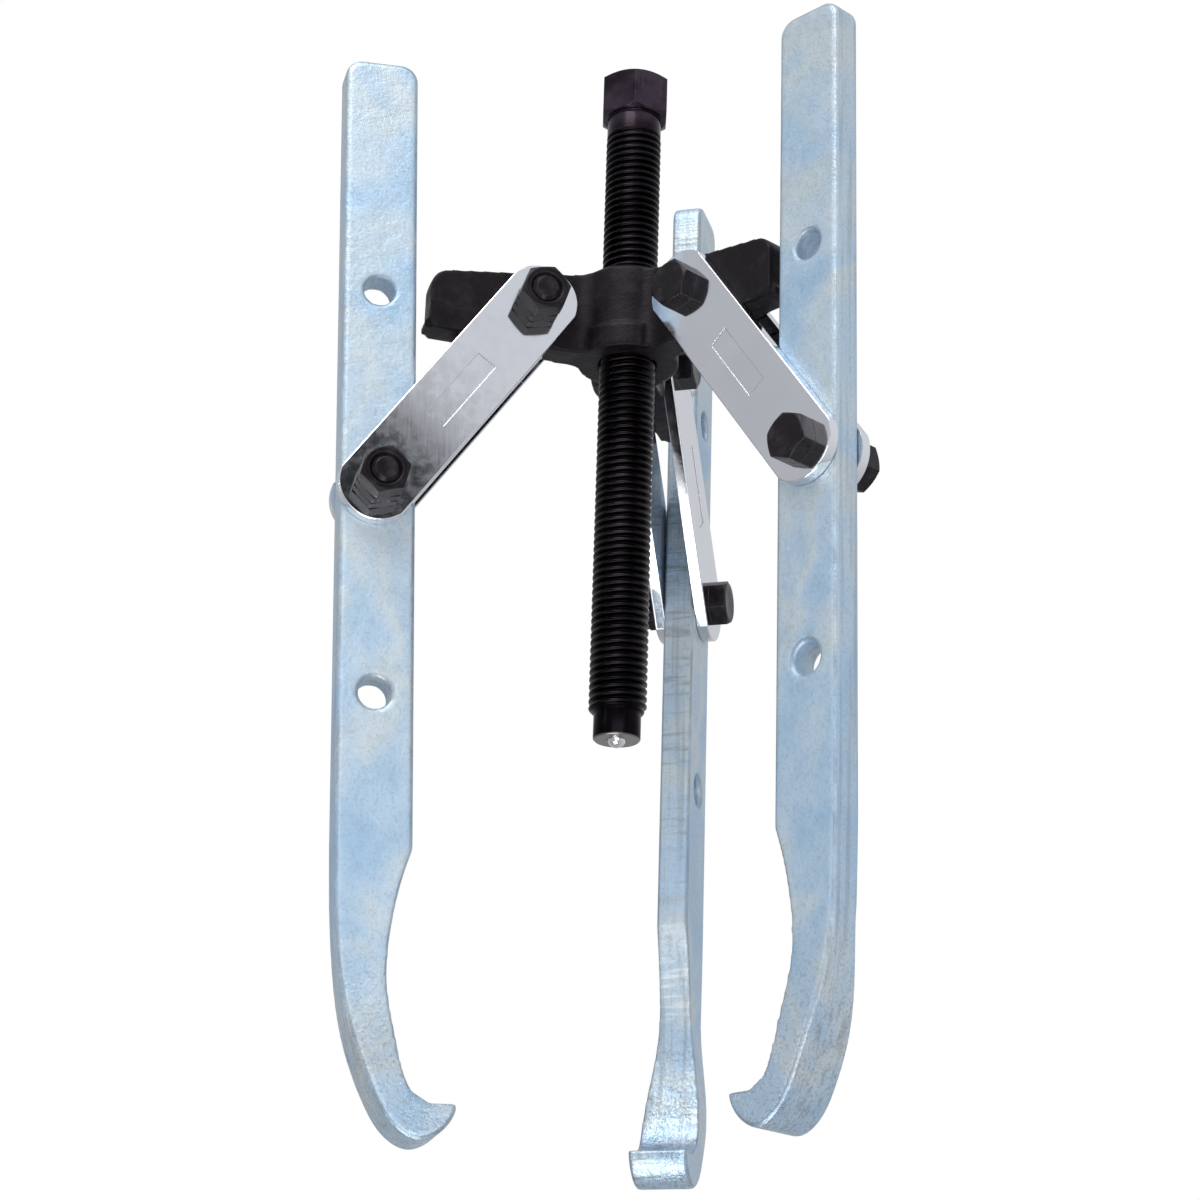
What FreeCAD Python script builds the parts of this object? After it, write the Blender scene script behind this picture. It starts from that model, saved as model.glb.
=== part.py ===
"""Three-jaw gear puller, modelled piece by piece.

Millimetres, +Z up. The origin is the centre of the forcing screw's tip face, on the screw's axis, with the
screw head above and the jaws' hooks below. Three stations stand round the axis, each with an arm of the
yoke, two straps, two bolts with their nuts, and a jaw. In a station's own axes X points away from the
screw, Z up, and Y across the station, with the nuts on +Y and the bolt heads on -Y.
"""
import FreeCAD, Part
import math
import os

import Sketcher

SHEET = "Dimensions"

# Driving dimensions, in millimetres.
DIMENSIONS = {
    # forcing screw, three quarter inch with ten threads to the inch
    "ScrewDiameter": 19.05,
    "ScrewShankDiameter": 18.7,
    "ScrewDogDiameter": 15.5,
    "ScrewDogLength": 9.0,
    "ScrewEndChamfer": 1.4,
    "ScrewTipChamfer": 0.5,
    "ScrewThreadTop": 221.6,
    "ScrewHeadBase": 228.6,
    "ScrewHeadHeight": 15.2,
    "ScrewHeadFlats": 22.2,
    # ball in the screw's tip
    "BallDiameter": 6.35,
    "BallCentreHeight": 0.8,
    "BallClearance": 0.06,
    # yoke
    "ArmBoltHeight": 148.4,
    "ArmBoltRadius": 33.7,
    "ArmEndRadius": 70.0,
    "ArmThickness": 11.0,
    "ArmBottomAtEnd": 12.4,
    "ArmTopAtEnd": 9.3,
    "ArmTopAtHub": 14.0,
    "ArmTopCorner": 6.0,
    "ArmBottomCorner": 2.5,
    "NoseReach": 71.0,
    "NoseLow": 12.0,
    "NoseHigh": 9.4,
    "NoseWidth": 8.0,
    "HubRadius": 16.5,
    "HubTopRadius": 13.4,
    "HubTop": 17.2,
    "HubBottom": 14.7,
    "BandRadius": 17.3,
    "BandTop": 6.4,
    "WebFillet": 8.0,
    "BoreEdge": 0.8,
    "ScrewClearance": 0.06,
    # bolts and nuts, three eighths of an inch
    "BoltDiameter": 9.525,
    "BoltHeadFlats": 14.4,
    "BoltHeadHeight": 6.2,
    "BoltEndChamfer": 1.3,
    "BoltEndStand": 0.7,
    "NutFlats": 14.9,
    "NutHeight": 6.8,
    "LockNutHeight": 4.6,
    "NutGap": 0.02,
    "NutMouth": 0.8,
    "HoleDiameter": 9.65,
    # straps
    "StrapLength": 88.2,
    "StrapWidth": 25.4,
    "StrapThickness": 3.97,
    "StrapEndRadius": 13.2,
    "StrapCornerReach": 4.0,
    "StrapEdge": 0.5,
    "SideGap": 0.15,
    "PanelLength": 29.0,
    "PanelWidth": 7.4,
    "PanelDepth": 0.3,
    # jaws
    "JawThickness": 11.0,
    "JawInside": 12.7,
    "JawOutside": 12.3,
    "JawTop": 157.3,
    "JawTopCorner": 6.0,
    "JawHoleSpacing": 70.35,
    "JawHoleChamfer": 1.1,
    "JawSpareDiameter": 10.4,
    "JawEdge": 1.6,
    "ShankEnd": 120.7,
    "HookThickness": 20.0,
    "HookHeel": 17.2,
    "HookFace": 200.4,
    "HookTip": 25.8,
    "HookTipDrop": 201.7,
}

# Each station: name, bearing about the screw, slope of its straps below level, lean of its jaw with the
# hook swung inwards, and how far its hexagons stand turned at the arm bolt and at the jaw bolt. Degrees.
STATIONS = (
    ("rear", 90.0, 50.6, 0.0, 12.0, 40.0),
    ("left", 210.0, 55.3, 2.7, 17.0, 22.0),
    ("right", 330.0, 53.6, 0.0, -7.0, 26.0),
)

CHAMFER_SLOPE = math.tan(math.radians(30.0))
HEAD_TURN = 16.0

doc = FreeCAD.newDocument("GearPuller")
subparts = []


def fill_sheet():
    """Write every driving dimension into a cell that carries its name as an alias."""
    sheet = doc.addObject("Spreadsheet::Sheet", SHEET)
    for row, (name, value) in enumerate(DIMENSIONS.items(), start=1):
        sheet.set("A%d" % row, name)
        sheet.set("B%d" % row, "%g" % value)
        sheet.setAlias("B%d" % row, name)
    doc.recompute()
    return sheet


sheet = fill_sheet()


def size(name):
    """A dimension's value, read from its cell."""
    return float(sheet.get(name))


def cell(formula):
    """A formula in dimension names, with each name turned into a reference to its cell."""
    for name in sorted(DIMENSIONS, key=len, reverse=True):
        formula = formula.replace("[%s]" % name, "%s.%s" % (SHEET, name))
    return formula


def value_of(formula):
    """A formula's value in millimetres."""
    for name in DIMENSIONS:
        formula = formula.replace("[%s]" % name, "(%r)" % size(name))
    result = sheet.evalExpression(formula)
    return float(getattr(result, "Value", result))


def bind(item, **formulas):
    """Bind properties of a document object to formulas in dimension names."""
    for prop, formula in formulas.items():
        item.setExpression(prop.replace("__", "."), cell(formula))


def new_body(label):
    """An empty PartDesign body."""
    body = doc.addObject("PartDesign::Body", label)
    body.Label = label
    return body


def new_sketch(body, name, role, lift=None):
    """A sketch on one of the body's origin planes, lifted along the plane's normal if asked."""
    plane = next(item for item in body.Origin.OriginFeatures if item.Role == role)
    sketch = body.newObject("Sketcher::SketchObject", name)
    sketch.AttachmentSupport = [(plane, "")]
    sketch.MapMode = "FlatFace"
    if lift:
        sketch.setExpression("AttachmentOffset.Base.z", cell(lift))
    return sketch


def fix_point(sketch, edge, end, formulas):
    """Place one end of an edge by two formulas, its distances from the sketch's origin."""
    for kind, axis, formula in (("DistanceX", -2, formulas[0]), ("DistanceY", -1, formulas[1])):
        value = value_of(formula)
        if abs(value) < 1e-9:
            sketch.addConstraint(Sketcher.Constraint("PointOnObject", edge, end, axis))
            continue
        if value > 0:
            rule = Sketcher.Constraint(kind, -1, 1, edge, end, value)
        else:
            rule = Sketcher.Constraint(kind, edge, end, -1, 1, -value)
            formula = "-(%s)" % formula
        index = sketch.addConstraint(rule)
        sketch.setExpression("Constraints[%d]" % index, cell(formula))


def arc_middle(start, end, radius, side):
    """The middle of the arc between two points that bulges to the left (side 1) or right (side -1)."""
    chord = end - start
    sagitta = radius - math.sqrt(radius ** 2 - (chord.Length / 2) ** 2)
    left = FreeCAD.Vector(-chord.y, chord.x, 0).normalize()
    return (start + end) * 0.5 + left * (sagitta * side)


def draw_outline(sketch, corners):
    """Draw a closed outline. Each corner is (x formula, y formula) and what leads on from it: nothing for
    a straight line, ("arc", radius formula, side), or ("curve", points between this corner and the next)."""
    points = [FreeCAD.Vector(value_of(c[0]), value_of(c[1]), 0) for c in corners]
    edges = []
    for index, corner in enumerate(corners):
        start = points[index]
        end = points[(index + 1) % len(points)]
        way = corner[2] if len(corner) > 2 else None
        if way is None:
            edges.append(sketch.addGeometry(Part.LineSegment(start, end)))
            flipped = False
        elif way[0] == "arc":
            radius = value_of(way[1])
            arc = Part.Arc(start, arc_middle(start, end, radius, way[2]), end)
            edges.append(sketch.addGeometry(arc))
            rule = sketch.addConstraint(Sketcher.Constraint("Radius", edges[-1], radius))
            sketch.setExpression("Constraints[%d]" % rule, cell(way[1]))
        else:
            curve = Part.BSplineCurve()
            curve.interpolate([start] + [FreeCAD.Vector(x, y, 0) for x, y in way[1]] + [end])
            edges.append(sketch.addGeometry(curve))
    ends = []
    for index, edge in enumerate(edges):
        near_start = (sketch.getPoint(edge, 1) - points[index]).Length < 1e-6
        ends.append((1, 2) if near_start else (2, 1))
    for index, edge in enumerate(edges):
        follower = (index + 1) % len(edges)
        sketch.addConstraint(Sketcher.Constraint("Coincident", edge, ends[index][1],
                                                 edges[follower], ends[follower][0]))
        fix_point(sketch, edge, ends[index][0], corners[index])


def draw_circle(sketch, centre, radius):
    """Draw a circle from formulas for its centre and radius."""
    middle = FreeCAD.Vector(value_of(centre[0]), value_of(centre[1]), 0)
    circle = sketch.addGeometry(Part.Circle(middle, FreeCAD.Vector(0, 0, 1), value_of(radius)))
    rule = sketch.addConstraint(Sketcher.Constraint("Radius", circle, value_of(radius)))
    sketch.setExpression("Constraints[%d]" % rule, cell(radius))
    fix_point(sketch, circle, 3, centre)


def pad(body, sketch, name, length, both_ways=False, backwards=False):
    """Pad a sketch by a formula's length."""
    feature = body.newObject("PartDesign::Pad", name)
    feature.Profile = sketch
    feature.Reversed = backwards
    if both_ways:
        feature.SideType = "Symmetric"
    bind(feature, Length=length)
    doc.recompute()
    return feature


def cut_through(body, sketch, name):
    """Pocket a sketch through the whole solid, both ways, and see that it takes something away."""
    before = body.Shape.Volume
    feature = body.newObject("PartDesign::Pocket", name)
    feature.Profile = sketch
    feature.SideType = "Symmetric"
    feature.Type = "ThroughAll"
    doc.recompute()
    if body.Shape.Volume > before - 1.0:
        raise RuntimeError("%s takes nothing away" % name)
    return feature


def turn_away(body, sketch, name):
    """Turn a sketch drawn on the XZ plane about the Z axis and see that it takes something away."""
    before = body.Shape.Volume
    feature = body.newObject("PartDesign::Groove", name)
    feature.Profile = sketch
    feature.ReferenceAxis = (sketch, ["V_Axis"])
    feature.Angle = 360.0
    doc.recompute()
    if body.Shape.Volume > before - 1.0:
        raise RuntimeError("%s takes nothing away" % name)
    return feature


def revolve(body, sketch, name):
    """Turn a sketch drawn on the XZ plane about the Z axis."""
    feature = body.newObject("PartDesign::Revolution", name)
    feature.Profile = sketch
    feature.ReferenceAxis = (sketch, ["V_Axis"])
    feature.Angle = 360.0
    doc.recompute()
    return feature


def repeat_round(body, features, name):
    """Repeat features at the three stations' bearings."""
    pattern = body.newObject("PartDesign::PolarPattern", name)
    axis = next(item for item in body.Origin.OriginFeatures if item.Role == "Z_Axis")
    pattern.Originals = features
    pattern.Axis = (axis, [""])
    pattern.Angle = 360.0
    pattern.Occurrences = len(STATIONS)
    body.Tip = pattern
    doc.recompute()
    return pattern


def keep(item, label, placement):
    """Name a finished sub-part and put it in its place."""
    item.Label = label
    item.Placement = placement
    subparts.append(item)


def station_place(bearing):
    """From a station's axes to the puller's."""
    return FreeCAD.Placement(FreeCAD.Vector(), FreeCAD.Rotation(FreeCAD.Vector(0, 0, 1), bearing))


def pivot_place(bearing, radius, height, slope):
    """At a pivot of a station, with X turned down from level by a slope."""
    turned = FreeCAD.Placement(FreeCAD.Vector(radius, 0, height),
                               FreeCAD.Rotation(FreeCAD.Vector(0, 1, 0), slope))
    return station_place(bearing) * turned


def jaw_pivot(slope):
    """Radius and height of a jaw's bolt for a slope of its straps."""
    angle = math.radians(slope)
    radius = size("ArmBoltRadius") + size("StrapLength") * math.cos(angle)
    height = size("ArmBoltHeight") - size("StrapLength") * math.sin(angle)
    return radius, height


def turned_hexagon(label, envelope, flats, head_low, head_height, blank_low, blank_height, turn):
    """A hexagonal fastener along Z: a hexagon bar and a round bar, both turned down to an envelope."""
    body = new_body(label + "_envelope")
    sketch = new_sketch(body, label + "_profile", "XZ_Plane")
    draw_outline(sketch, envelope)
    revolve(body, sketch, label + "_turning")
    bar = doc.addObject("Part::Prism", label + "_hexagon")
    bar.Polygon = 6
    bind(bar, Circumradius="(%s) * %.6f" % (flats, 1 / math.sqrt(3)), Height=head_height,
         Placement__Base__z=head_low)
    bar.Placement.Rotation = FreeCAD.Rotation(FreeCAD.Vector(0, 0, 1), turn)
    stock = bar
    if blank_height:
        rod = doc.addObject("Part::Cylinder", label + "_rod")
        bind(rod, Radius="(%s) * 0.45" % flats, Height=blank_height, Placement__Base__z=blank_low)
        stock = doc.addObject("Part::Fuse", label + "_stock")
        stock.Base = bar
        stock.Tool = rod
    part = doc.addObject("Part::Common", label)
    part.Base = stock
    part.Tool = body
    doc.recompute()
    return part


def make_screw():
    """Forcing screw: dog end with the ball's socket, threaded length at its crest size, shank, hex head."""
    socket = "([BallDiameter] / 2 + [BallClearance])"
    crest = "[ScrewDiameter] / 2"
    dog = "[ScrewDogDiameter] / 2"
    head_top = "[ScrewHeadBase] + [ScrewHeadHeight]"
    corner = "[ScrewHeadFlats] * 0.475"
    skirt = "[ScrewHeadFlats] * 0.6"
    envelope = (
        (socket, "0"),
        (dog + " - [ScrewTipChamfer]", "0"),
        (dog, "[ScrewTipChamfer]"),
        (dog, "[ScrewDogLength]"),
        (crest + " - [ScrewEndChamfer]", "[ScrewDogLength]"),
        (crest, "[ScrewDogLength] + [ScrewEndChamfer]"),
        (crest, "[ScrewThreadTop]"),
        ("[ScrewShankDiameter] / 2", "[ScrewThreadTop] + 0.4"),
        ("[ScrewShankDiameter] / 2", "[ScrewHeadBase]"),
        (corner, "[ScrewHeadBase]"),
        (skirt, "[ScrewHeadBase] + [ScrewHeadFlats] * 0.125 * %.6f" % CHAMFER_SLOPE),
        (skirt, head_top + " - [ScrewHeadFlats] * 0.125 * %.6f" % CHAMFER_SLOPE),
        (corner, head_top),
        ("0", head_top),
        ("0", "[BallCentreHeight] + " + socket, ("arc", socket, 1)),
        (socket, "[BallCentreHeight]"),
    )
    screw = turned_hexagon("forcing_screw", envelope, "[ScrewHeadFlats]", "[ScrewHeadBase]",
                           "[ScrewHeadHeight]", "-1", "[ScrewHeadBase] + 1", 30.0)
    keep(screw, "forcing_screw", station_place(HEAD_TURN))


def make_ball():
    """Hardened ball that the screw presses with."""
    ball = doc.addObject("Part::Sphere", "tip_ball")
    bind(ball, Radius="[BallDiameter] / 2")
    keep(ball, "tip_ball", FreeCAD.Placement(FreeCAD.Vector(0, 0, size("BallCentreHeight")),
                                             FreeCAD.Rotation()))


def make_yoke():
    """Yoke: a bored hub with three flat arms, each drilled across for a bolt and ending in a small nose."""
    side = "([ArmThickness] / 2)"
    spring = "sqrt(([HubRadius] + [WebFillet]) ^ 2 - (%s + [WebFillet]) ^ 2)" % side
    share = "([HubRadius] / ([HubRadius] + [WebFillet]))"
    corners = []
    for index in range(len(STATIONS)):
        turn = math.radians(120.0 * index)
        cosine, sine = math.cos(turn), math.sin(turn)

        def spot(along, across):
            return ("(%s) * %.6f - (%s) * %.6f" % (along, cosine, across, sine),
                    "(%s) * %.6f + (%s) * %.6f" % (along, sine, across, cosine))

        blend_u = "%s * %s" % (spring, share)
        blend_v = "(%s + [WebFillet]) * %s" % (side, share)
        corners.append(spot(blend_u, "-(%s)" % blend_v) + (("arc", "[WebFillet]", 1),))
        corners.append(spot(spring, "-" + side))
        corners.append(spot("[ArmEndRadius] + 1", "-" + side))
        corners.append(spot("[ArmEndRadius] + 1", side))
        corners.append(spot(spring, side) + (("arc", "[WebFillet]", 1),))
        corners.append(spot(blend_u, blend_v) + (("arc", "[HubRadius]", -1),))
    body = new_body("yoke")
    plan = new_sketch(body, "yoke_plan", "XY_Plane", "[ArmBoltHeight] - [HubBottom]")
    draw_outline(plan, corners)
    pad(body, plan, "yoke_blank", "[HubBottom] + [HubTop]")
    band = new_sketch(body, "hub_band_circle", "XY_Plane", "[ArmBoltHeight] - [HubBottom]")
    draw_circle(band, ("0", "0"), "[BandRadius]")
    pad(body, band, "hub_band", "[HubBottom] - [BandTop]")

    level = "[ArmBoltHeight] + "
    sole = "[ArmBoltHeight] - [HubBottom]"
    toe = "[ArmBoltHeight] - [ArmBottomAtEnd]"
    reach = "[ArmEndRadius]"
    profile = new_sketch(body, "yoke_relief_profile", "XZ_Plane")
    draw_outline(profile, (
        ("[HubTopRadius]", level + "[HubTop] + 1"),
        ("[HubTopRadius]", level + "[HubTop]"),
        ("[HubRadius]", level + "[ArmTopAtHub] + 1"),
        ("[HubRadius] + 6", level + "[ArmTopAtHub]"),
        (reach + " - [ArmTopCorner]", level + "[ArmTopAtEnd]", ("arc", "[ArmTopCorner] + 0.5", 1)),
        (reach, level + "[ArmTopAtEnd] - [ArmTopCorner]"),
        (reach, toe + " + [ArmBottomCorner]", ("arc", "[ArmBottomCorner]", 1)),
        (reach + " - [ArmBottomCorner]", toe),
        ("[HubRadius] + 7.5", sole),
        ("[HubRadius] + 7.5", sole + " - 1"),
        (reach + " + 5", sole + " - 1"),
        (reach + " + 5", level + "[HubTop] + 1"),
    ))
    turn_away(body, profile, "yoke_relief")

    wall = "([ScrewDiameter] / 2 + [ScrewClearance])"
    crown = level + "[HubTop]"
    bore = new_sketch(body, "screw_bore_profile", "XZ_Plane")
    draw_outline(bore, (
        ("0", sole + " - 1"),
        (wall + " + [BoreEdge] + 1", sole + " - 1"),
        (wall, sole + " + [BoreEdge]"),
        (wall, crown + " - [BoreEdge]"),
        (wall + " + [BoreEdge] + 1", crown + " + 1"),
        ("0", crown + " + 1"),
    ))
    turn_away(body, bore, "screw_bore")

    hole = new_sketch(body, "arm_bolt_circle", "XZ_Plane")
    draw_circle(hole, ("[ArmBoltRadius]", "[ArmBoltHeight]"), "[HoleDiameter] / 2")
    drilled = cut_through(body, hole, "arm_bolt_hole")
    repeat_round(body, [drilled], "arm_bolt_holes")

    nose = new_sketch(body, "nose_profile", "XZ_Plane")
    inner = reach + " - 4"
    draw_outline(nose, (
        (inner, "[ArmBoltHeight] - [NoseLow]"),
        ("[NoseReach]", "[ArmBoltHeight] - [NoseLow]"),
        ("[NoseReach]", "[ArmBoltHeight] - [NoseHigh]"),
        (inner, "[ArmBoltHeight] - [NoseHigh]"),
    ))
    lip = pad(body, nose, "nose", "[NoseWidth]", both_ways=True)
    repeat_round(body, [lip], "noses")
    keep(body, "yoke", station_place(STATIONS[0][1]))


def dress(body, kind, name, edges, **sizes):
    """Chamfer or fillet named edges of what the body holds so far."""
    base = body.Tip
    feature = body.newObject(kind, name)
    feature.Base = (base, edges)
    bind(feature, **sizes)
    doc.recompute()
    return feature


def on_shank(edge):
    """Whether an edge runs along a jaw's shank or over its top, between a flank and the outline."""
    box = edge.BoundBox
    level = min(abs(box.YMin), abs(box.YMax)) > size("JawThickness") / 2 - 0.01
    hole = isinstance(edge.Curve, Part.Circle) and edge.isClosed()
    return level and not hole and box.ZMin > -size("ShankEnd") - 0.1


def named_edges(shape):
    """A shape's edges with the names that features know them by."""
    return [("Edge%d" % number, edge) for number, edge in enumerate(shape.Edges, start=1)]


def is_rim(edge, limit):
    """Whether an edge is a whole circle no larger than a formula's radius."""
    curve = edge.Curve
    return isinstance(curve, Part.Circle) and edge.isClosed() and curve.Radius <= value_of(limit)


def make_jaw(name, bearing, slope, lean):
    """Jaw: a flat shank with three holes that thickens into a hook turned in under the screw."""
    body = new_body(name + "_jaw")
    side = new_sketch(body, name + "_jaw_side", "XZ_Plane")
    top = "[JawTop]"
    corner = "[JawTopCorner]"
    draw_outline(side, (
        ("-[JawInside]", top + " - " + corner),
        ("-[JawInside]", "-[ShankEnd]",
         ("curve", ((-8.5, -133.6), (-5.6, -148.7), (-4.7, -164.6), (-7.3, -182.6), (-9.3, -191.6)))),
        ("-11.8", "-197.0"),
        ("-[HookHeel]", "-[HookFace]"),
        ("-[HookTip] + 1.2", "-[HookFace]", ("arc", "1.3", -1)),
        ("-[HookTip]", "-[HookTipDrop]",
         ("curve", ((-20.0, -209.6), (-14.0, -211.6), (-7.5, -208.6), (0.5, -196.6), (7.1, -178.6),
                    (11.2, -153.0)))),
        ("[JawOutside]", "-[ShankEnd]"),
        ("[JawOutside]", top + " - " + corner, ("arc", corner, -1)),
        ("[JawOutside] - " + corner, top),
        ("-[JawInside] + " + corner, top, ("arc", corner, -1)),
    ))
    pad(body, side, name + "_jaw_blank", "[HookThickness]", both_ways=True)

    flank = "[JawThickness] / 2"
    for hand, sign in (("left", "-"), ("right", "")):
        front = new_sketch(body, "%s_jaw_%s_flank" % (name, hand), "YZ_Plane")
        way = -1.0 if sign else 1.0
        draw_outline(front, (
            (sign + "(%s)" % flank, top + " + 1"),
            (sign + "(%s)" % flank, "-148.0", ("curve", ((way * 6.4, -162.0), (way * 8.6, -177.0)))),
            (sign + "([HookThickness] / 2)", "-193.0"),
            (sign + "([HookThickness] / 2 + 2)", "-193.0"),
            (sign + "([HookThickness] / 2 + 2)", top + " + 1"),
        ))
        cut_through(body, front, "%s_jaw_%s_thinning" % (name, hand))

    for index, radius in ((1, "[JawSpareDiameter] / 2"), (0, "[HoleDiameter] / 2"),
                          (-1, "[JawSpareDiameter] / 2")):
        hole = new_sketch(body, "%s_jaw_circle_%d" % (name, index + 2), "XZ_Plane")
        draw_circle(hole, ("0", "[JawHoleSpacing] * %d" % index), radius)
        cut_through(body, hole, "%s_jaw_hole_%d" % (name, index + 2))

    rims = [label for label, edge in named_edges(body.Shape) if is_rim(edge, "[JawSpareDiameter] / 2")]
    dress(body, "PartDesign::Chamfer", name + "_jaw_hole_rims", rims, Size="[JawHoleChamfer]")
    ridge = [label for label, edge in named_edges(body.Shape) if on_shank(edge)]
    dress(body, "PartDesign::Fillet", name + "_jaw_edges", ridge, Radius="[JawEdge]")

    radius, height = jaw_pivot(slope)
    keep(body, name + "_jaw", pivot_place(bearing, radius, height, lean))


def make_strap(name, hand, bearing, slope, flipped):
    """Strap: a flat bar with crowned ends, a hole at each end and a plain sunk panel on its outer face."""
    label = "%s_%s_strap" % (name, hand)
    body = new_body(label)
    inner_face = "[JawThickness] / 2 + [SideGap]"
    outline = new_sketch(body, label + "_outline", "XZ_Plane", inner_face)
    edge = "[StrapWidth] / 2"
    near = "-[StrapCornerReach]"
    far = "[StrapLength] + [StrapCornerReach]"
    draw_outline(outline, (
        (near, edge, ("arc", "[StrapEndRadius]", -1)),
        (near, "-(%s)" % edge),
        (far, "-(%s)" % edge, ("arc", "[StrapEndRadius]", -1)),
        (far, edge),
    ))
    pad(body, outline, label + "_blank", "[StrapThickness]")
    for spot, centre in (("arm", "0"), ("jaw", "[StrapLength]")):
        hole = new_sketch(body, "%s_%s_circle" % (label, spot), "XZ_Plane")
        draw_circle(hole, (centre, "0"), "[HoleDiameter] / 2")
        cut_through(body, hole, "%s_%s_hole" % (label, spot))
    panel = new_sketch(body, label + "_panel_outline", "XZ_Plane",
                       inner_face + " + [StrapThickness] - [PanelDepth]")
    middle = "[StrapLength] / 2"
    draw_outline(panel, (
        (middle + " - [PanelLength] / 2", "-[PanelWidth] / 2"),
        (middle + " + [PanelLength] / 2", "-[PanelWidth] / 2"),
        (middle + " + [PanelLength] / 2", "[PanelWidth] / 2"),
        (middle + " - [PanelLength] / 2", "[PanelWidth] / 2"),
    ))
    recess = body.newObject("PartDesign::Pocket", label + "_panel")
    recess.Profile = panel
    recess.Reversed = True
    bind(recess, Length="[PanelDepth] + 1")
    doc.recompute()
    reach = size("StrapThickness") + value_of(inner_face)
    rim = [label_ for label_, item in named_edges(body.Shape) if on_outline(item, reach)]
    dress(body, "PartDesign::Fillet", label + "_edges", rim, Radius="[StrapEdge]")
    place = pivot_place(bearing, size("ArmBoltRadius"), size("ArmBoltHeight"), slope)
    if flipped:
        place = place * FreeCAD.Placement(FreeCAD.Vector(), FreeCAD.Rotation(FreeCAD.Vector(1, 0, 0), 180))
    keep(body, label, place)


def on_outline(edge, reach):
    """Whether an edge belongs to the outline of a strap's outer face, at a distance from the middle."""
    box = edge.BoundBox
    flat = box.YLength < 1e-6 and abs(box.YMin + reach) < 1e-6
    return flat and max(-box.ZMin, box.ZMax) > size("StrapWidth") / 2 - 0.01


def cross_place(bearing, radius, height, slope, offset):
    """At a pivot with Z along the bolt, towards the nut, at an offset across the station."""
    across = FreeCAD.Placement(FreeCAD.Vector(0, offset, 0),
                               FreeCAD.Rotation(FreeCAD.Vector(1, 0, 0), -90))
    return pivot_place(bearing, radius, height, slope) * across


def make_bolt(label, place, turn):
    """Bolt: a chamfered hexagon head and a plain shank with a chamfered end."""
    grip = "[JawThickness] + 2 * [SideGap] + 2 * [StrapThickness]"
    length = "(%s + [LockNutHeight] + [NutGap] + [NutHeight] + [BoltEndStand])" % grip
    rise = "[BoltHeadFlats] * 0.125 * %.6f" % CHAMFER_SLOPE
    corner = "[BoltHeadFlats] * 0.475"
    skirt = "[BoltHeadFlats] * 0.6"
    shank = "[BoltDiameter] / 2"
    envelope = (
        ("0", "-[BoltHeadHeight]"),
        (corner, "-[BoltHeadHeight]"),
        (skirt, "-[BoltHeadHeight] + " + rise),
        (skirt, "0"),
        (shank, "0"),
        (shank, length + " - [BoltEndChamfer]"),
        (shank + " - [BoltEndChamfer]", length),
        ("0", length),
    )
    bolt = turned_hexagon(label, envelope, "[BoltHeadFlats]", "-[BoltHeadHeight]", "[BoltHeadHeight]",
                          "-1", length + " + 1", turn)
    keep(bolt, label, place)


def make_nut(label, place, height, turn):
    """Nut: a hexagon, chamfered on the side away from the strap, with a countersunk mouth."""
    rise = "[NutFlats] * 0.125 * %.6f" % CHAMFER_SLOPE
    corner = "[NutFlats] * 0.475"
    skirt = "[NutFlats] * 0.6"
    bore = "[HoleDiameter] / 2"
    envelope = (
        (bore, "0"),
        (corner + " + 0.4", "0"),
        (skirt, rise + " - 0.2"),
        (skirt, height + " - " + rise),
        (corner, height),
        (bore + " + [NutMouth]", height),
        (bore, height + " - [NutMouth]"),
    )
    nut = turned_hexagon(label, envelope, "[NutFlats]", "0", height, "0", None, turn)
    keep(nut, label, place)


def make_station(name, bearing, slope, lean, arm_turn, jaw_turn):
    """One station: its jaw, its two straps, and at each pivot a bolt with a nut locked by a thinner one."""
    make_jaw(name, bearing, slope, lean)
    make_strap(name, "nut_side", bearing, slope, True)
    make_strap(name, "head_side", bearing, slope, False)
    outside = size("JawThickness") / 2 + size("SideGap") + size("StrapThickness")
    arm = (size("ArmBoltRadius"), size("ArmBoltHeight"))
    for spot, pivot, turn in (("arm", arm, arm_turn), ("jaw", jaw_pivot(slope), jaw_turn)):
        make_bolt("%s_%s_bolt" % (name, spot), cross_place(bearing, *pivot, slope, -outside), turn)
        lock = cross_place(bearing, *pivot, slope, outside)
        make_nut("%s_%s_lock_nut" % (name, spot), lock, "[LockNutHeight]", turn - 3)
        outer = outside + size("LockNutHeight") + size("NutGap")
        make_nut("%s_%s_nut" % (name, spot), cross_place(bearing, *pivot, slope, outer), "[NutHeight]", turn)


def write_out():
    """Check every object and write each sub-part to its own file."""
    doc.recompute()
    for item in doc.Objects:
        if "Invalid" in item.State or "Error" in item.State:
            raise RuntimeError("%s is %s" % (item.Name, item.State))
    os.makedirs("parts", exist_ok=True)
    for item in subparts:
        shape = item.Shape
        if shape.isNull() or not shape.isValid() or len(shape.Solids) != 1:
            raise RuntimeError("%s is not one sound solid" % item.Label)
        shape.exportStep("parts/%s.step" % item.Label)


make_yoke()
make_screw()
make_ball()
for station in STATIONS:
    make_station(*station)
write_out()
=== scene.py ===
import math

import bmesh
import bpy
from mathutils import Matrix, Vector


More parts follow.
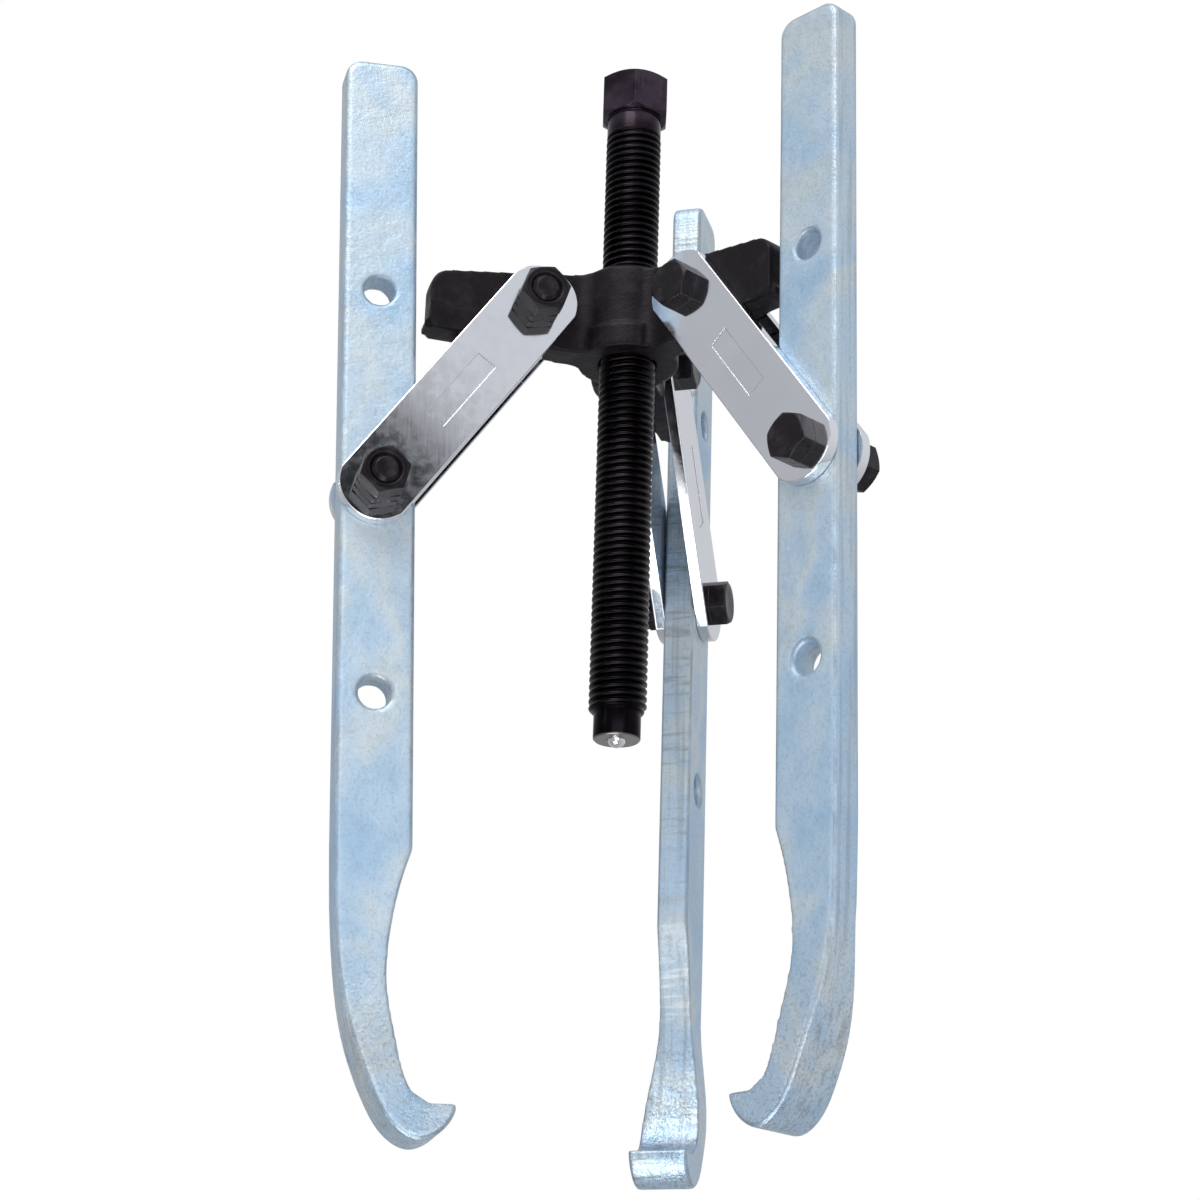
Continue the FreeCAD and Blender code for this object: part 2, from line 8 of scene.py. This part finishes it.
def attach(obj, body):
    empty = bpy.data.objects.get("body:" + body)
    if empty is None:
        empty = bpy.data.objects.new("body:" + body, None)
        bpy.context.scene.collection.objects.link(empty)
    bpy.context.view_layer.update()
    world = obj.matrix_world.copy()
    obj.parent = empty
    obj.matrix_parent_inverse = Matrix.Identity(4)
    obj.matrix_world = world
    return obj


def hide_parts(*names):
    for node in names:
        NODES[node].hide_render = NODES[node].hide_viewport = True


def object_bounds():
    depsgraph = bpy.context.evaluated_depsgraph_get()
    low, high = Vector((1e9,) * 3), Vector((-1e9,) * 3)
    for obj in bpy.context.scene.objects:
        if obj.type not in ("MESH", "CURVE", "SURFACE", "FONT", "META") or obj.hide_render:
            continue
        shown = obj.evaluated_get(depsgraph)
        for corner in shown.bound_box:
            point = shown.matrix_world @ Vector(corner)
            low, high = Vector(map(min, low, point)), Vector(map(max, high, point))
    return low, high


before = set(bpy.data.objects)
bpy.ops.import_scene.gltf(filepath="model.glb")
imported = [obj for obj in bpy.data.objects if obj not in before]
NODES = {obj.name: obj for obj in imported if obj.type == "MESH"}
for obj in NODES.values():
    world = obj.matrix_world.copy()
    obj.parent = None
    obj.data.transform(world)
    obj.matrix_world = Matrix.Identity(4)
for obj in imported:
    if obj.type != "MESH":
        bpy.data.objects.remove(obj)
start_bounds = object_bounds()

# Sizes are in millimetres where MM is applied to them, and in metres elsewhere.
MM = 0.001

# Radius and height of the arm bolts, and the distance between a strap's two holes, as in the CAD.
ARM_BOLT = (33.7, 148.4)
STRAP_LENGTH = 88.2
# Name, bearing about the screw, slope of the straps below level, inward lean of the jaw, in degrees.
STATIONS = (("rear", 90.0, 50.6, 0.0), ("left", 210.0, 55.3, 2.7), ("right", 330.0, 53.6, 0.0))

SCREW_RADIUS = 9.525
PITCH = 2.54
THREAD_DEPTH = 1.45
THREAD_LOW, THREAD_HIGH = 9.0, 221.6
THREAD_END = THREAD_HIGH + 0.4
# Shares of the thread's wave: flat at crest and root, and the sloping rest between them.
CREST_SHARE, FLANK_SHARE = 0.12, 0.76
LEAD_DEPTH = 1.4
RUNOUT_RADIUS, RUNOUT_BELOW, RUNOUT_LENGTH = 9.35, 1.6, 1.8
STEPS_ROUND, STEPS_PER_PITCH = 56, 8

JAW_VOXEL, YOKE_VOXEL = 0.7, 0.6
ROUNDING = 3

# How far inside the crests the rubbing starts and is full, in millimetres.
CREST_WEAR = (0.5, 0.05)
# Heights over which the head's tone takes over from the thread's, and the tip face's wear from the
# tip's side, in metres.
HEAD_FADE = (0.2215, 0.2285)
TIP_FADE = (0.6 * MM, 0.1 * MM)
# Places on a jaw in metres from its bolt, each from where a tone starts to where it is full: the hook's
# shine, the neck's painted highlight from above and from below, and the two depths on the inner side.
HOOK_FADE = (-0.135, -0.190)
NECK_FROM_ABOVE = (-0.100, -0.135)
NECK_FROM_BELOW = (-0.175, -0.140)
INNER_HALF = (0.0, -0.003)
INNER_SIDE = (-0.0095, -0.0112)


# ---------------------------------------------------------------- places

def turn(degrees, axis):
    return Matrix.Rotation(math.radians(degrees), 4, axis)


def station_matrix(bearing, radius, height, slope):
    """From axes at a pivot of a station (X out, Z up, both turned down by a slope) to the row frame."""
    shift = Matrix.Translation(Vector((radius, 0.0, height)) * MM)
    return turn(bearing, "Z") @ shift @ turn(slope, "Y")


def jaw_matrix(bearing, slope, lean):
    angle = math.radians(slope)
    radius = ARM_BOLT[0] + STRAP_LENGTH * math.cos(angle)
    height = ARM_BOLT[1] - STRAP_LENGTH * math.sin(angle)
    return station_matrix(bearing, radius, height, lean)


def local_copy(name, node, matrix):
    """A copy of a CAD node's mesh, held in the axes that the matrix leads from."""
    source = NODES[node]
    mesh = source.data.copy()
    mesh.name = name
    mesh.transform(matrix.inverted() @ source.matrix_world)
    piece = bpy.data.objects.new(name, mesh)
    bpy.context.scene.collection.objects.link(piece)
    piece.matrix_world = matrix
    return piece


def forged(name, node, matrix, voxel):
    """A forged piece: the node's shape with every edge rounded over."""
    piece = local_copy(name, node, matrix)
    remesh = piece.modifiers.new("skin", "REMESH")
    remesh.mode = "VOXEL"
    remesh.voxel_size = voxel * MM
    remesh.use_smooth_shade = True
    smooth = piece.modifiers.new("rounding", "SMOOTH")
    smooth.factor = 0.5
    smooth.iterations = ROUNDING
    return piece


# ---------------------------------------------------------------- materials

class Nodes:
    """A material's node tree, with short ways to add and join nodes."""

    def __init__(self, name):
        self.material = bpy.data.materials.new(name)
        self.material.use_nodes = True
        self.tree = self.material.node_tree
        self.tree.nodes.clear()
        self.output = self.add("ShaderNodeOutputMaterial")
        self.shader = self.add("ShaderNodeBsdfPrincipled")
        self.join(self.shader.outputs["BSDF"], self.output.inputs["Surface"])
        self.coordinates = self.add("ShaderNodeTexCoord")
        self.place = self.coordinates.outputs["Object"]

    def add(self, kind, **settings):
        node = self.tree.nodes.new(kind)
        for key, value in settings.items():
            setattr(node, key, value)
        return node

    def join(self, source, target):
        self.tree.links.new(source, target)

    def feed(self, socket, value):
        if isinstance(value, bpy.types.NodeSocket):
            self.join(value, socket)
        else:
            socket.default_value = value

    def stretched(self, scale):
        """The piece's own coordinates, scaled apart along its axes."""
        mapping = self.add("ShaderNodeMapping")
        self.join(self.place, mapping.inputs["Vector"])
        mapping.inputs["Scale"].default_value = scale
        return mapping.outputs["Vector"]

    def noise(self, scale, detail=3.0, rough=0.5, vector=None, warp=0.0):
        node = self.add("ShaderNodeTexNoise")
        self.join(vector or self.place, node.inputs["Vector"])
        node.inputs["Scale"].default_value = scale
        node.inputs["Detail"].default_value = detail
        node.inputs["Roughness"].default_value = rough
        node.inputs["Distortion"].default_value = warp
        return node.outputs["Fac"]

    def cells(self, scale, vector=None):
        node = self.add("ShaderNodeTexVoronoi")
        self.join(vector or self.place, node.inputs["Vector"])
        node.inputs["Scale"].default_value = scale
        return node.outputs["Distance"]

    def range(self, value, low, high, to_low=0.0, to_high=1.0):
        node = self.add("ShaderNodeMapRange", interpolation_type="SMOOTHSTEP")
        self.feed(node.inputs["Value"], value)
        node.inputs["From Min"].default_value = low
        node.inputs["From Max"].default_value = high
        node.inputs["To Min"].default_value = to_low
        node.inputs["To Max"].default_value = to_high
        return node.outputs["Result"]

    def math(self, operation, first, second=0.0):
        node = self.add("ShaderNodeMath", operation=operation)
        self.feed(node.inputs[0], first)
        self.feed(node.inputs[1], second)
        return node.outputs[0]

    def mix(self, factor, first, second):
        """A colour between two others."""
        node = self.add("ShaderNodeMix", data_type="RGBA")
        self.feed(node.inputs["Factor"], factor)
        for socket, value in ((node.inputs[6], first), (node.inputs[7], second)):
            if isinstance(value, bpy.types.NodeSocket):
                self.join(value, socket)
            else:
                socket.default_value = (*value, 1.0)
        return node.outputs[2]

    def ramp(self, value, stops):
        """A colour ramp through (position, colour) stops."""
        node = self.add("ShaderNodeValToRGB")
        self.join(value, node.inputs["Fac"])
        elements = node.color_ramp.elements
        for index, (spot, colour) in enumerate(stops):
            element = elements[index] if index < 2 else elements.new(spot)
            element.position = spot
            element.color = (*colour, 1.0)
        return node.outputs["Color"]

    def bump(self, height, strength, distance, normal=None):
        node = self.add("ShaderNodeBump")
        self.join(height, node.inputs["Height"])
        node.inputs["Strength"].default_value = strength
        node.inputs["Distance"].default_value = distance * MM
        if normal:
            self.join(normal, node.inputs["Normal"])
        return node.outputs["Normal"]

    def soft_edges(self, radius):
        """A normal that rounds hard edges over."""
        node = self.add("ShaderNodeBevel", samples=6)
        node.inputs["Radius"].default_value = radius * MM
        return node.outputs["Normal"]

    def edges(self, radius):
        """1 on hard edges, 0 on flat faces."""
        flat = self.add("ShaderNodeNewGeometry").outputs["Normal"]
        dot = self.add("ShaderNodeVectorMath", operation="DOT_PRODUCT")
        self.join(self.soft_edges(radius), dot.inputs[0])
        self.join(flat, dot.inputs[1])
        return self.range(dot.outputs["Value"], 0.995, 0.8)

    def axes(self):
        split = self.add("ShaderNodeSeparateXYZ")
        self.join(self.place, split.inputs[0])
        return split.outputs

    def finish(self, colour, roughness, normal, metallic, specular=0.5):
        self.join(colour, self.shader.inputs["Base Color"])
        self.join(roughness, self.shader.inputs["Roughness"])
        self.join(normal, self.shader.inputs["Normal"])
        self.shader.inputs["Metallic"].default_value = metallic
        self.shader.inputs["Specular IOR Level"].default_value = specular
        return self.material


def zinc_plate():
    """Satin zinc over forged steel: pale blue silver with faint yellow clouds and a darker grain, with
    ribs along the shank's inner side, a shinier hook and a painted highlight on the neck above it.
    From the jaw's bolt, X points outwards, Y across the jaw's thickness and Z up its shank."""
    n = Nodes("zinc_plate")
    x, _, z = n.axes()
    facing = n.add("ShaderNodeSeparateXYZ")
    n.join(n.coordinates.outputs["Normal"], facing.inputs[0])
    across = n.math("ABSOLUTE", facing.outputs["Y"])
    rim = n.range(across, 0.75, 0.35)
    band = n.math("MULTIPLY", n.range(across, 0.99, 0.93), n.range(across, 0.45, 0.70))
    low = n.range(z, *HOOK_FADE)
    inner = n.math("MULTIPLY", rim, n.range(x, *INNER_SIDE))
    # Mask of a painted highlight: a patch on the inner side of the neck, above the hook.
    rubbed = n.math("MULTIPLY", n.range(z, *NECK_FROM_ABOVE), n.range(z, *NECK_FROM_BELOW))
    rubbed = n.math("MULTIPLY", rubbed, n.math("MULTIPLY", rim, n.range(x, *INNER_HALF)))
    clouds = n.noise(24.0, 2.0, 0.5, warp=0.8)
    patches = n.noise(75.0, 4.0, 0.65)
    grain = n.noise(1000.0, 4.0, 0.75)
    pits = n.cells(900.0)
    ribs = n.noise(430.0, 3.0, 0.6, n.stretched((0.25, 0.10, 1.0)))
    draw = n.noise(500.0, 3.0, 0.6, n.stretched((0.6, 1.0, 0.03)))
    tint = n.ramp(clouds, ((0.34, (0.40, 0.58, 0.76)), (0.47, (0.49, 0.64, 0.78)),
                           (0.58, (0.59, 0.68, 0.72)), (0.66, (0.48, 0.62, 0.75))))
    shade = n.mix(n.range(patches, 0.38, 0.70, 0.0, 0.45), tint, (0.56, 0.64, 0.71))
    depth = n.math("ADD", n.math("MULTIPLY", low, 0.22), 0.20)
    depth = n.math("ADD", depth, n.math("MULTIPLY", n.math("MULTIPLY", low, rim), 0.06))
    colour = n.mix(n.math("MULTIPLY", n.range(grain, 0.47, 0.66), depth), shade, (0.15, 0.15, 0.15))
    dark_ribs = n.math("MULTIPLY", inner, n.range(ribs, 0.50, 0.68, 0.0, 0.45))
    colour = n.mix(dark_ribs, colour, (0.20, 0.21, 0.22))
    # Painted highlight: the ribs are lightened inside the neck's patch.
    painted_highlight_ribs = n.math("MULTIPLY", rubbed, n.range(ribs, 0.50, 0.62, 0.0, 0.55))
    colour = n.mix(painted_highlight_ribs, colour, (0.88, 0.91, 0.94))
    streak = n.math("ADD", n.math("MULTIPLY", low, 0.10), 0.30)
    streak = n.math("MULTIPLY", n.math("MULTIPLY", rim, streak), n.range(draw, 0.46, 0.66))
    colour = n.mix(streak, colour, (0.22, 0.23, 0.25))
    # Darker in patches along the band where the broad faces round over into the rim.
    edge_dark_line = n.math("MULTIPLY", band, n.range(n.noise(120.0, 3.0, 0.6), 0.30, 0.70, 0.20, 0.50))
    colour = n.mix(edge_dark_line, colour, (0.16, 0.16, 0.18))
    rough = n.range(patches, 0.3, 0.7, 0.38, 0.54)
    rough = n.math("SUBTRACT", rough, n.math("MULTIPLY", low, 0.18))
    normal = n.bump(n.noise(150.0, 2.0, 0.5), 0.5, 0.6)
    normal = n.bump(n.math("MULTIPLY", ribs, inner), 0.6, 0.5, normal)
    normal = n.bump(n.math("MULTIPLY", n.math("MULTIPLY", draw, rim), low), 0.4, 0.5, normal)
    normal = n.bump(grain, 0.75, 0.2, normal)
    normal = n.bump(pits, 0.25, 0.16, normal)
    return n.finish(colour, rough, normal, 0.72)


def bright_plate():
    """Polished plate on rolled bar: nearly a mirror, with fine rubbing marks and edges greyed as painted
    shade.
    """
    n = Nodes("bright_plate")
    clouds = n.noise(26.0, 2.0, 0.5)
    rub = n.noise(260.0, 3.0, 0.6)
    scratches = n.noise(900.0, 2.0, 0.5, n.stretched((1.0, 1.0, 0.08)))
    tint = n.ramp(clouds, ((0.3, (0.77, 0.80, 0.85)), (0.5, (0.82, 0.85, 0.90)),
                           (0.72, (0.79, 0.81, 0.85))))
    # Painted shade: the edges are darkened towards grey, dulling their reflections.
    colour = n.mix(n.math("MULTIPLY", n.edges(0.5), 0.60), tint, (0.36, 0.36, 0.40))
    rough = n.range(rub, 0.3, 0.7, 0.06, 0.11)
    normal = n.bump(scratches, 0.05, 0.05, n.soft_edges(0.3))
    return n.finish(colour, rough, normal, 1.0)


def black_oxide(name, tint, worn, gloss, grain_height, specular):
    """Blackened steel: a dark oxide skin with a faint purple cast, brighter along its edges, partly from
    wear and partly as a painted highlight on the chamfers.
    """
    n = Nodes(name)
    clouds = n.noise(55.0, 3.0, 0.6, warp=0.5)
    grain = n.noise(1100.0, 3.0, 0.6)
    smears = n.noise(160.0, 4.0, 0.65)
    base = n.mix(n.range(clouds, 0.3, 0.7), tint, tuple(c * 0.55 for c in tint))
    base = n.mix(n.range(smears, 0.50, 0.72, 0.0, 0.18), base, worn)
    # Lighter edges: partly wear, partly a painted highlight that shows the chamfer rings.
    colour = n.mix(n.math("MULTIPLY", n.edges(0.5), 0.75), base, worn)
    rough = n.range(smears, 0.3, 0.7, gloss - 0.08, gloss + 0.12)
    normal = n.bump(smears, 0.5, 2.0 * grain_height, n.soft_edges(0.45))
    normal = n.bump(grain, 0.35, grain_height, normal)
    return n.finish(colour, rough, normal, 0.30, specular)


def thread_oxide():
    """The screw's blackened steel: oil-dark in the thread's roots, rubbed on its crests, lighter on its
    head and worn pale on its tip face."""
    n = Nodes("thread_oxide")
    x, y, z = n.axes()
    radius = n.math("SQRT", n.math("ADD", n.math("MULTIPLY", x, x), n.math("MULTIPLY", y, y)))
    crest = n.range(radius, (SCREW_RADIUS - CREST_WEAR[0]) * MM, (SCREW_RADIUS - CREST_WEAR[1]) * MM)
    clouds = n.noise(70.0, 3.0, 0.6)
    grain = n.noise(1300.0, 3.0, 0.6)
    dark = n.mix(n.range(clouds, 0.3, 0.7), (0.004, 0.0035, 0.0045), (0.009, 0.007, 0.009))
    wear = n.math("MULTIPLY", crest, n.range(clouds, 0.35, 0.65, 0.05, 0.30))
    rubbed = n.mix(wear, dark, (0.060, 0.048, 0.056))
    head = n.range(z, *HEAD_FADE)
    head_tint = n.mix(n.range(clouds, 0.35, 0.65), (0.030, 0.021, 0.032), (0.065, 0.050, 0.068))
    rubbed = n.mix(head, rubbed, head_tint)
    tip = n.range(z, *TIP_FADE)
    colour = n.mix(n.math("MULTIPLY", tip, 0.8), rubbed, (0.33, 0.31, 0.30))
    rough = n.range(clouds, 0.3, 0.7, 0.18, 0.27)
    normal = n.bump(grain, 0.25, 0.06, n.soft_edges(0.3))
    return n.finish(colour, rough, normal, 1.0)


def ball_steel():
    """Hardened polished steel with faint rubbing."""
    n = Nodes("ball_steel")
    clouds = n.noise(300.0, 2.0, 0.5)
    colour = n.mix(n.range(clouds, 0.3, 0.7), (0.72, 0.72, 0.74), (0.86, 0.87, 0.89))
    rough = n.range(clouds, 0.3, 0.7, 0.08, 0.18)
    return n.finish(colour, rough, n.bump(clouds, 0.08, 0.05), 1.0)


def paint(piece, material):
    piece.data.materials.clear()
    piece.data.materials.append(material)


# ---------------------------------------------------------------- forcing screw

def thread_radius(share):
    """The thread's radius at a share of its pitch: crest, flank, root and flank, with rounded corners."""
    wave = 0.5 - 0.5 * math.cos(2 * math.pi * share)
    level = min(1.0, max(0.0, (wave - CREST_SHARE) / FLANK_SHARE))
    return SCREW_RADIUS - THREAD_DEPTH * level


def threaded_screw():
    """The screw's CAD shape with its plain crest cylinder swapped for a right-hand thread."""
    piece = local_copy("forcing_screw_threaded", "forcing_screw", Matrix.Identity(4))
    edit = bmesh.new()
    edit.from_mesh(piece.data)
    # The crest cylinder and the slope at its upper end lie between these heights.
    low, high = THREAD_LOW + 0.05, THREAD_HIGH + 0.35
    barrel = []
    for face in edit.faces:
        heights = [corner.co.z / MM for corner in face.verts]
        if max(heights) > low and min(heights) < high and max(heights) < high + 0.2:
            barrel.append(face)
    bmesh.ops.delete(edit, geom=barrel, context="FACES")
    turns = int((THREAD_HIGH - THREAD_LOW) / PITCH) + 2
    grid = []
    for row in range(turns * STEPS_PER_PITCH + 1):
        ring = []
        share = row / STEPS_PER_PITCH
        for step in range(STEPS_ROUND + 1):
            angle = 2 * math.pi * step / STEPS_ROUND
            height = THREAD_LOW + PITCH * (share - 1.0 + step / STEPS_ROUND)
            height = min(max(height, THREAD_LOW), THREAD_END)
            lead = SCREW_RADIUS - LEAD_DEPTH + (height - THREAD_LOW)
            fade = min(1.0, max(0.0, (height - THREAD_HIGH + RUNOUT_BELOW) / RUNOUT_LENGTH))
            radius = min(thread_radius(share % 1.0), lead)
            radius = radius + (RUNOUT_RADIUS - radius) * fade
            spot = Vector((radius * math.cos(angle), radius * math.sin(angle), height)) * MM
            ring.append(edit.verts.new(spot))
        grid.append(ring)
    for lower, upper in zip(grid, grid[1:]):
        for step in range(STEPS_ROUND):
            corners = (lower[step], lower[step + 1], upper[step + 1], upper[step])
            spots = {tuple(round(c, 7) for c in corner.co) for corner in corners}
            if len(spots) > 2:
                edit.faces.new(corners).smooth = True
    bmesh.ops.remove_doubles(edit, verts=edit.verts, dist=1e-6)
    bmesh.ops.dissolve_degenerate(edit, edges=edit.edges, dist=1e-7)
    edit.to_mesh(piece.data)
    edit.free()
    return piece


# ---------------------------------------------------------------- build

zinc = zinc_plate()
bright = bright_plate()
forged_black = black_oxide("forged_black", (0.009, 0.0055, 0.0085), (0.060, 0.042, 0.056),
                           gloss=0.42, grain_height=0.25, specular=0.22)
machined_black = black_oxide("machined_black", (0.009, 0.006, 0.0085), (0.120, 0.098, 0.116),
                             gloss=0.32, grain_height=0.05, specular=0.30)

for name, bearing, slope, lean in STATIONS:
    jaw = forged(name + "_jaw_forging", name + "_jaw", jaw_matrix(bearing, slope, lean), JAW_VOXEL)
    paint(jaw, zinc)
    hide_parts(name + "_jaw")
    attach(jaw, name + "_jaw")
    for hand in ("nut_side", "head_side"):
        paint(NODES["%s_%s_strap" % (name, hand)], bright)
    for spot in ("arm_bolt", "arm_lock_nut", "arm_nut", "jaw_bolt", "jaw_lock_nut", "jaw_nut"):
        paint(NODES["%s_%s" % (name, spot)], machined_black)

yoke = forged("yoke_forging", "yoke", Matrix.Identity(4), YOKE_VOXEL)
paint(yoke, forged_black)
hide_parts("yoke")
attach(yoke, "yoke")

screw = threaded_screw()
paint(screw, thread_oxide())
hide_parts("forcing_screw")
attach(screw, "forcing_screw")

paint(NODES["tip_ball"], ball_steel())


# ---------------------------------------------------------------- stage, light and camera

# Each lamp: name, place, aim, size and power.
LAMPS = (
    ("key", (-0.1, -1.1, 1.5), (0.0, 0.0, 0.05), (1.0, 1.0), 19.0),
    ("fill", (0.4, -1.4, -0.6), (0.0, 0.0, 0.0), (1.2, 1.0), 5.5),
    ("left_strip", (-0.97, -1.01, 0.14), (0.0, 0.0, 0.05), (0.02, 0.6), 0.8),
    ("right_strip", (0.88, -1.09, -0.35), (0.0, 0.0, 0.05), (0.02, 0.6), 0.8),
    ("under", (-0.15, -0.45, -1.1), (0.0, 0.0, 0.0), (0.9, 0.6), 7.0),
)
# Where the dark card stands, and the cosines of the angles at which its rim starts and ends.
CARD_AIM = (0.542, -0.787, 0.295)
CARD_RIM = (0.9870, 0.9898)

CAMERA_SPOT = (236.3, -850.8, -287.6)
CAMERA_AHEAD = (-0.2565, 0.8974, 0.3590)
CAMERA_ROLL = 0.0316
CAMERA_LENS = 86.11
CAMERA_SHIFT = (-0.0007, -0.0084)

FLOOR_GAP = 0.0005


def studio_floor(height):
    """A pale floor that shows from above only, so that it hides nothing from below."""
    bpy.ops.mesh.primitive_plane_add(size=6.0, location=(0.0, 0.0, height))
    floor = bpy.context.object
    floor.name = "studio_floor"
    material = bpy.data.materials.new("studio_floor")
    material.use_nodes = True
    tree = material.node_tree
    tree.nodes.clear()
    output = tree.nodes.new("ShaderNodeOutputMaterial")
    blend = tree.nodes.new("ShaderNodeMixShader")
    clear = tree.nodes.new("ShaderNodeBsdfTransparent")
    plain = tree.nodes.new("ShaderNodeBsdfDiffuse")
    plain.inputs["Color"].default_value = (0.82, 0.82, 0.82, 1.0)
    path = tree.nodes.new("ShaderNodeLightPath")
    side = tree.nodes.new("ShaderNodeNewGeometry")
    front = tree.nodes.new("ShaderNodeMath")
    front.operation = "SUBTRACT"
    tree.links.new(path.outputs["Is Camera Ray"], front.inputs[0])
    tree.links.new(side.outputs["Backfacing"], front.inputs[1])
    front.use_clamp = True
    tree.links.new(front.outputs[0], blend.inputs[0])
    tree.links.new(clear.outputs[0], blend.inputs[1])
    tree.links.new(plain.outputs[0], blend.inputs[2])
    tree.links.new(blend.outputs[0], output.inputs["Surface"])
    floor.data.materials.append(material)


def softbox(name, spot, aim, size, power):
    """A rectangular white lamp turned towards its aim, in metres and watts."""
    light = bpy.data.lights.new(name, "AREA")
    light.shape = "RECTANGLE"
    light.size, light.size_y = size
    light.energy = power
    lamp = bpy.data.objects.new(name, light)
    bpy.context.scene.collection.objects.link(lamp)
    lamp.location = spot
    lamp.rotation_euler = (Vector(aim) - Vector(spot)).to_track_quat("-Z", "Y").to_euler()


def room():
    """A pale room, dimmer low down and on the left, with one dark card for polished faces to mirror."""
    world = bpy.data.worlds.new("studio")
    world.use_nodes = True
    tree = world.node_tree
    tree.nodes.clear()

    def add(kind):
        return tree.nodes.new(kind)

    output = add("ShaderNodeOutputWorld")
    seen, lit = add("ShaderNodeBackground"), add("ShaderNodeBackground")
    blend, path = add("ShaderNodeMixShader"), add("ShaderNodeLightPath")
    place, split = add("ShaderNodeTexCoord"), add("ShaderNodeSeparateXYZ")
    level, ramp = add("ShaderNodeMapRange"), add("ShaderNodeValToRGB")
    towards, card = add("ShaderNodeVectorMath"), add("ShaderNodeMapRange")
    side, strength = add("ShaderNodeMapRange"), add("ShaderNodeMath")
    seen.inputs["Color"].default_value = (1.0, 1.0, 1.0, 1.0)
    tree.links.new(place.outputs["Generated"], split.inputs[0])
    tree.links.new(split.outputs["Z"], level.inputs["Value"])
    level.inputs["From Min"].default_value = -1.0
    tree.links.new(level.outputs["Result"], ramp.inputs["Fac"])
    elements = ramp.color_ramp.elements
    elements[0].position, elements[0].color = 0.0, (0.55, 0.55, 0.56, 1.0)
    elements[1].position, elements[1].color = 1.0, (0.95, 0.96, 1.0, 1.0)
    elements.new(0.45).color = (0.80, 0.80, 0.82, 1.0)
    towards.operation = "DOT_PRODUCT"
    tree.links.new(place.outputs["Generated"], towards.inputs[0])
    towards.inputs[1].default_value = Vector(CARD_AIM).normalized()
    tree.links.new(towards.outputs["Value"], card.inputs["Value"])
    card.interpolation_type = "SMOOTHSTEP"
    card.inputs["From Min"].default_value, card.inputs["From Max"].default_value = CARD_RIM
    card.inputs["To Min"].default_value = 0.78
    card.inputs["To Max"].default_value = 0.02
    tree.links.new(split.outputs["X"], side.inputs["Value"])
    side.inputs["From Min"].default_value = -1.0
    side.inputs["To Min"].default_value = 0.72
    side.inputs["To Max"].default_value = 1.10
    tree.links.new(card.outputs["Result"], strength.inputs[0])
    strength.operation = "MULTIPLY"
    tree.links.new(side.outputs["Result"], strength.inputs[1])
    tree.links.new(ramp.outputs["Color"], lit.inputs["Color"])
    tree.links.new(strength.outputs[0], lit.inputs["Strength"])
    tree.links.new(path.outputs["Is Camera Ray"], blend.inputs[0])
    tree.links.new(lit.outputs[0], blend.inputs[1])
    tree.links.new(seen.outputs[0], blend.inputs[2])
    tree.links.new(blend.outputs[0], output.inputs["Surface"])
    bpy.context.scene.world = world


def camera():
    """The camera below the hooks and in front, looking up."""
    ahead = Vector(CAMERA_AHEAD).normalized()
    across = ahead.cross(Vector((0.0, 0.0, 1.0))).normalized()
    above = across.cross(ahead)
    right = across * math.cos(CAMERA_ROLL) + above * math.sin(CAMERA_ROLL)
    up = above * math.cos(CAMERA_ROLL) - across * math.sin(CAMERA_ROLL)
    data = bpy.data.cameras.new("camera")
    data.sensor_width = 36.0
    data.lens = CAMERA_LENS
    data.shift_x, data.shift_y = CAMERA_SHIFT
    data.clip_start, data.clip_end = 0.01, 50.0
    item = bpy.data.objects.new("camera", data)
    bpy.context.scene.collection.objects.link(item)
    matrix = Matrix((right, up, -ahead)).transposed().to_4x4()
    matrix.translation = Vector(CAMERA_SPOT) * MM
    item.matrix_world = matrix
    bpy.context.scene.camera = item


room()
studio_floor(start_bounds[0].z - FLOOR_GAP)
for lamp in LAMPS:
    softbox(*lamp)
camera()
bpy.context.scene.view_settings.view_transform = "Standard"
